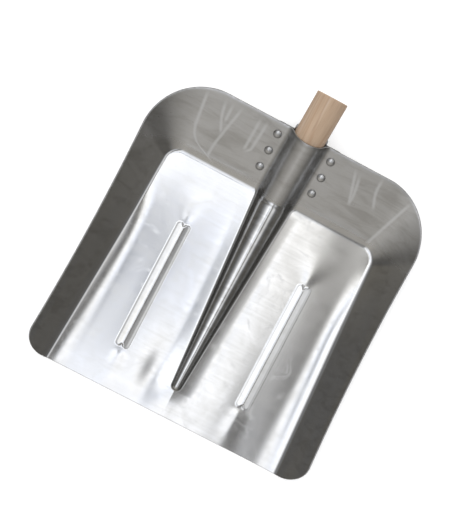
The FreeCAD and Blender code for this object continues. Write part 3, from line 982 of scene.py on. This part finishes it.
def aluminium_material(name, pale, dark, smooth_level, rough_level, wear=0.7, pressed=False):
    """Bare rolled aluminium with a mill finish, duller where its edges are worn."""
    material = plain_material(name, pale, 1.0, smooth_level)
    tree = material.node_tree
    clouds, rolling, fine, smudges = metal_parts(tree, object_place(tree))
    tone = weigh(tree, clouds, rolling, CLOUD_SHARE)
    colour = ramp(tree, tone, [(0.30, dark), (0.62, pale)])
    colour = mix_colour(tree, times(tree, smudges, SMUDGE_SHARE), colour, dark)
    roughness = remap(tree, tone, 0.32, 0.68, rough_level, smooth_level)
    roughness = plus_share(tree, roughness, smudges, SMUDGE_DULLER)
    worn = times(tree, edge_wear(tree), wear)
    colour = mix_colour(tree, worn, colour, WORN)
    roughness = plus_share(tree, roughness, worn, WEAR_DULLER)
    if pressed:
        colour, roughness = add_press_marks_and_highlights(tree, colour, roughness)
    relief = weigh(tree, rolling, fine, ROLLING_SHARE)
    finish_shader(tree, colour, roughness, bump(tree, relief, 0.2, RELIEF_DEPTH))
    return material


def add_press_marks_and_highlights(tree, colour, roughness):
    """What only the blade has: stained walls, streaks of painted highlight that are also rougher, and a
    duller rear wall.
    """
    streaks = wall_highlight_streaks(tree)
    colour = mix_colour(tree, wall_stains(tree), colour, STAINED)
    # Painted highlight: white mixed into the metal's colour along the streaks.
    colour = mix_colour(tree, times(tree, streaks, STREAK_HIGHLIGHT_SHARE), colour, (1, 1, 1))
    roughness = plus_share(tree, roughness, streaks, STREAK_DULLER)
    up_wall = parts_of(tree, wall_place(tree))[1]
    duller = remap(tree, up_wall, 0, WALL_ONSET * MM, 0, WALL_DULLER, smooth=True)
    return colour, maths(tree, "ADD", roughness, duller)


WOOD = (0.46, 0.34, 0.24)
WOOD_BANDS = [(0.30, (0.40, 0.285, 0.195)), (0.55, (0.50, 0.375, 0.27)), (0.75, (0.52, 0.41, 0.32))]
LATE_WOOD = (0.36, 0.215, 0.13)
LATE_SHARE = 0.48
PORE = (0.27, 0.19, 0.13)
# Painted shade where the wood goes into the socket's mouth.
MOUTH_SHADE = (0.20, 0.17, 0.14)
MOUTH_SHADE_END = (90.0, 108.0)  # painted shade by the socket's mouth fades between these
PITH = (-12.0, -34.0)  # the tree's middle, across and out of the wall
RING_GAP = 4.2
RING_WARP = 0.016
RING_TONES = [(0.0, 0.15), (0.55, 0.35), (0.86, 1.0), (1.0, 0.1)]  # early wood to late wood
FIBRES = (900, 28, 900)  # features in a metre across, along and out
BANDS = (120, 7, 120)
WARPS = (22, 5, 22)


def growth_rings(tree, place):
    """White in the late wood of each growth ring about the pith."""
    across, _, out = parts_of(tree, place)
    squares = []
    for part, middle in zip((across, out), PITH):
        squares.append(maths(tree, "POWER", maths(tree, "SUBTRACT", part, middle * MM), 2.0))
    warp = noise(tree, place, WARPS, 2, 0.5)
    radius = plus_share(tree, maths(tree, "SQRT", maths(tree, "ADD", *squares)), warp, RING_WARP)
    rings = maths(tree, "FRACT", times(tree, radius, 1 / (RING_GAP * MM)))
    return ramp(tree, rings, RING_TONES)


def wood_material():
    """Pale softwood: growth rings about a pith beside the axis, fibres and small pores along it, and painted
    shade by the socket's mouth.
    """
    material = plain_material("handle_wood", WOOD, 0.0, 0.5)
    tree = material.node_tree
    tree.nodes["Principled BSDF"].inputs["Specular IOR Level"].default_value = 0.3
    place = wall_place(tree)
    late = growth_rings(tree, place)
    fibres = noise(tree, place, FIBRES, 3, 0.6)
    base = ramp(tree, noise(tree, place, BANDS, 3, 0.5), WOOD_BANDS)
    colour = mix_colour(tree, times(tree, late, LATE_SHARE), base, LATE_WOOD)
    colour = mix_colour(tree, remap(tree, fibres, 0.30, 0.55, 0.35, 0.0), colour, PORE)
    # Painted shade: the wood is darkened where it goes into the socket's mouth.
    along = parts_of(tree, place)[1]
    mouth_shading = remap(tree, along, MOUTH_SHADE_END[0] * MM, MOUTH_SHADE_END[1] * MM, 0.35, 0.0, smooth=True)
    mouth_shade = times(tree, mouth_shading, noise(tree, place, 130, 4, 0.6))
    colour = mix_colour(tree, mouth_shade, colour, MOUTH_SHADE)
    roughness = remap(tree, fibres, 0.3, 0.7, 0.62, 0.42)
    finish_shader(tree, colour, roughness, bump(tree, plus_share(tree, fibres, late, 0.35), 0.5, 0.00025))
    return material


ZINC = (0.60, 0.60, 0.57)
ZINC_TONES = [(0.35, (0.34, 0.33, 0.30)), (0.6, (0.62, 0.62, 0.60))]


def steel_material():
    """Zinc-plated steel with slight crystalline clouding."""
    material = plain_material("screw_steel", ZINC, 1.0, 0.3)
    tree = material.node_tree
    place = object_place(tree)
    crystals = noise(tree, place, 700, 3, 0.6)
    colour = ramp(tree, noise(tree, place, 260, 4, 0.6, 0.8), ZINC_TONES)
    roughness = remap(tree, crystals, 0.3, 0.7, 0.42, 0.22)
    finish_shader(tree, colour, roughness, bump(tree, crystals, 0.3, 0.0001))
    return material


# ---- stage ----
SKY_STRENGTH = 1.7
# What the metal mirrors: levels by degrees off the vertical, towards -x and towards +x.
OVERHEAD = [
    (-50, 0.11), (-38, 0.17), (-28, 0.33), (-20, 0.55), (-13, 0.85), (-7, 1.0),
    (-3, (0.94, 0.955, 0.985)), (1, (0.84, 0.85, 0.875)), (6.9, 0.97),
    (7.8, (0.115, 0.110, 0.100)), (12.5, (0.100, 0.095, 0.087)),
    (20, 0.55), (28, 0.55), (35, 0.28), (43, 0.10),
]
SHADE_AT = (-0.8, -3.6)  # a dim patch overhead, in degrees across and lengthways
SHADE_REACH = (2.1, 5.2)
SHADE_LEVEL = 0.18
SHADE_EDGE = (0.05, 1.6)  # it fades between these squared distances
# The share of the overhead levels that is left, by degrees towards the front and towards the rear.
LENGTHWAYS = [(-60, 0.45), (-25, 0.75), (-9, 0.94), (0, 1.0), (8, 1.0), (30, 0.8), (60, 0.5)]
# Levels near the horizon, by degrees of azimuth from the front.
HORIZON_TINT = (1.0, 0.95, 0.86)
HORIZON = [
    (-180, 0.22), (-120, 0.25), (-85, 0.07), (-65, 0.08), (-45, 0.18), (0, 0.28),
    (40, 0.16), (57, 0.07), (85, 0.07), (120, 0.25), (180, 0.22),
]
BELOW = (0.20, 0.20, 0.20)
REPEAT_SHARE = 0.5  # what is left of the sky in reflections of reflections
HAZE = [(0.35, (0.83, 0.87, 0.96)), (0.65, (1.0, 0.985, 0.945))]  # cool and warm patches
HAZE_STRETCH = (1, 0.35, 1)
HAZE_SCALE = 13
LIFT = (0.5, 0.8)  # the light overhead takes over from the horizon between these heights
GROUND = (-0.25, -0.05)  # and the horizon from what lies below


def shade_patch(tree, across, along):
    """What the dim patch overhead leaves of the light, 1 away from it."""
    squares = []
    for angle, middle, reach in zip((across, along), SHADE_AT, SHADE_REACH):
        offset = maths(tree, "SUBTRACT", angle, math.radians(middle))
        squares.append(maths(tree, "POWER", maths(tree, "DIVIDE", offset, math.radians(reach)), 2.0))
    return remap(tree, maths(tree, "ADD", *squares), *SHADE_EDGE, SHADE_LEVEL, 1, smooth=True)


def add_world():
    """Soft studio surroundings: a wide light overhead, darker sides, a pale card at the front."""
    world = bpy.data.worlds.new("studio")
    bpy.context.scene.world = world
    world.use_nodes = True
    tree = world.node_tree
    direction = new_node(tree, "ShaderNodeTexCoord").outputs["Generated"]
    x, y, z = parts_of(tree, direction)
    across, along = maths(tree, "ARCTAN2", x, z), maths(tree, "ARCTAN2", y, z)
    patches = noise(tree, scaled(tree, direction, HAZE_STRETCH), HAZE_SCALE, 3, 0.55)
    haze = ramp(tree, patches, HAZE)
    overhead = angle_ramp(tree, across, 90, OVERHEAD)
    for part in (angle_ramp(tree, along, 90, LENGTHWAYS), shade_patch(tree, across, along), haze):
        overhead = multiply_colours(tree, overhead, part)
    azimuth = maths(tree, "ARCTAN2", x, times(tree, y, -1.0))
    horizon = angle_ramp(tree, azimuth, 180, HORIZON)
    for part in (HORIZON_TINT, haze):
        horizon = multiply_colours(tree, horizon, part)
    upper = mix_colour(tree, remap(tree, z, *LIFT, smooth=True), horizon, overhead)
    colour = mix_colour(tree, remap(tree, z, *GROUND), BELOW, upper)
    depth = new_node(tree, "ShaderNodeLightPath").outputs["Ray Depth"]
    share = remap(tree, depth, 2, 3, 1, REPEAT_SHARE)
    background = tree.nodes["Background"]
    tree.links.new(colour, background.inputs["Color"])
    tree.links.new(times(tree, share, SKY_STRENGTH), background.inputs["Strength"])


FLOOR_REACH = 6.0
FLOOR_CURVE = 3.0  # radius of the curve up into the backdrop
FLOOR_TURNS = 96
FLOOR_RINGS = 9
FLOOR_WHITE = (0.80, 0.80, 0.80)
FLOOR_GLOW = 0.32


def add_floor(height):
    """Pale floor that curves up into a backdrop all round. The metal doesn't mirror it."""
    sweep = np.linspace(0, math.pi / 2, 13)[1:]
    flat = np.linspace(0, FLOOR_REACH, FLOOR_RINGS)[1:]
    radii = np.concatenate([flat, FLOOR_REACH + FLOOR_CURVE * np.sin(sweep)])
    heights = np.concatenate([np.zeros(len(flat)), FLOOR_CURVE * (1 - np.cos(sweep))])
    around = np.linspace(0, 2 * math.pi, FLOOR_TURNS, endpoint=False)
    x = radii[:, None] * np.cos(around)
    y = radii[:, None] * np.sin(around)
    z = np.repeat(heights[:, None], FLOOR_TURNS, axis=1)
    points = np.vstack([[[0, 0, 0]], np.column_stack([x.ravel(), y.ravel(), z.ravel()])])
    index = 1 + np.arange(x.size).reshape(x.shape)
    index = np.hstack([index, index[:, :1]])
    faces = grid_quads(index)[:, ::-1].tolist()
    faces += [[0, int(a), int(b)] for a, b in zip(index[0, :-1], index[0, 1:])]
    floor = add_mesh("studio_floor", points + [0, 0, height], faces, floor_material())
    floor.visible_glossy = False


def floor_material():
    material = plain_material("studio_floor", FLOOR_WHITE, 0.0, 0.9)
    shader = material.node_tree.nodes["Principled BSDF"]
    shader.inputs["Specular IOR Level"].default_value = 0.0
    shader.inputs["Emission Color"].default_value = (1, 1, 1, 1)
    shader.inputs["Emission Strength"].default_value = FLOOR_GLOW
    return material


FILL_ENERGY = 2.1
FILL_SPREAD = math.radians(70.0)
FILL_LEAN = (math.radians(-12.0), math.radians(-14.0), 0)


def add_fill():
    """Very soft light from above, which the metal doesn't mirror."""
    data = bpy.data.lights.new("fill", "SUN")
    data.energy = FILL_ENERGY
    data.angle = FILL_SPREAD
    fill = bpy.data.objects.new("fill", data)
    fill.rotation_euler = FILL_LEAN
    fill.visible_glossy = False
    bpy.context.scene.collection.objects.link(fill)


# ---- the scene ----
PALE = (0.80, 0.80, 0.805)
DARK = (0.72, 0.715, 0.70)
RIVET_PALE = (0.80, 0.80, 0.80)
RIVET_DARK = (0.62, 0.62, 0.61)

add_camera()
add_world()
add_fill()
bpy.context.scene.view_settings.view_transform = "Standard"
blade_metal = aluminium_material("blade_aluminium", PALE, DARK, 0.11, 0.16, pressed=True)
socket_metal = aluminium_material("socket_aluminium", PALE, DARK, 0.22, 0.34, wear=0.15)
rivet_metal = aluminium_material("rivet_aluminium", RIVET_PALE, RIVET_DARK, 0.24, 0.34)
build_blade(blade_metal)
build_rivets(rivet_metal)
build_handle(wood_material())
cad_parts["socket_back"].data.materials[0] = socket_metal
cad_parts["handle_screw"].data.materials[0] = steel_material()

VISUAL_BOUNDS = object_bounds()
add_floor(VISUAL_BOUNDS[0][2])
